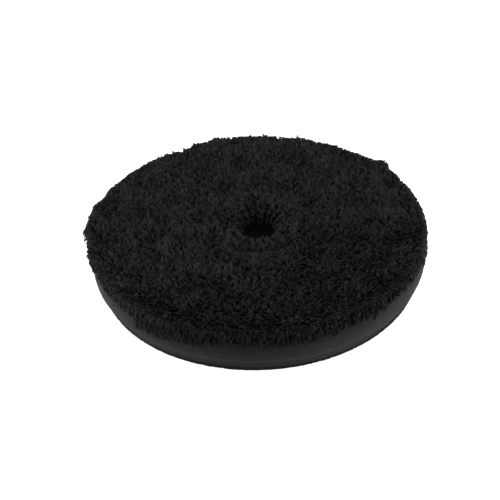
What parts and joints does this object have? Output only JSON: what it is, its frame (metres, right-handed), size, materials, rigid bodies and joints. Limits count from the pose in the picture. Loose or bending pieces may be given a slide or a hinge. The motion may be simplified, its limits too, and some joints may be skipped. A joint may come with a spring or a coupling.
{
  "type": "polishing pad",
  "caption": "Round plush microfibre polishing disc with a centre hole on a bevelled foam interface, with a hook-and-loop backing, for a machine polisher.",
  "frame": {"origin": "middle of the loop face, on the axis of the centre hole, where the pad rests pile side up", "axes": "+Z along the centre hole from the loop face to the polishing face; the pad is round, so X and Y are any two perpendicular directions in the loop face"},
  "size_m": [0.15, 0.15, 0.024],
  "materials": {
    "loop_fabric": "black brushed knit with raised fastening loops, matte",
    "bond_film": "thin black hot-melt film, satin",
    "foam": "charcoal black open-cell polyurethane foam, fine cells, matte",
    "pile_knit": "black warp-knitted ground cloth, matte",
    "microfibre": "black plush split-microfibre pile in soft tufts, matte with a faint sheen"
  },
  "bodies": {
    "root": {"loop_nap": "loop_fabric", "loop_ground_knit": "loop_fabric", "rear_bond_film": "bond_film", "foam_interface": "foam", "front_bond_film": "bond_film", "pile_ground_knit": "pile_knit", "microfibre_pile": "microfibre"}
  },
  "joints": []
}
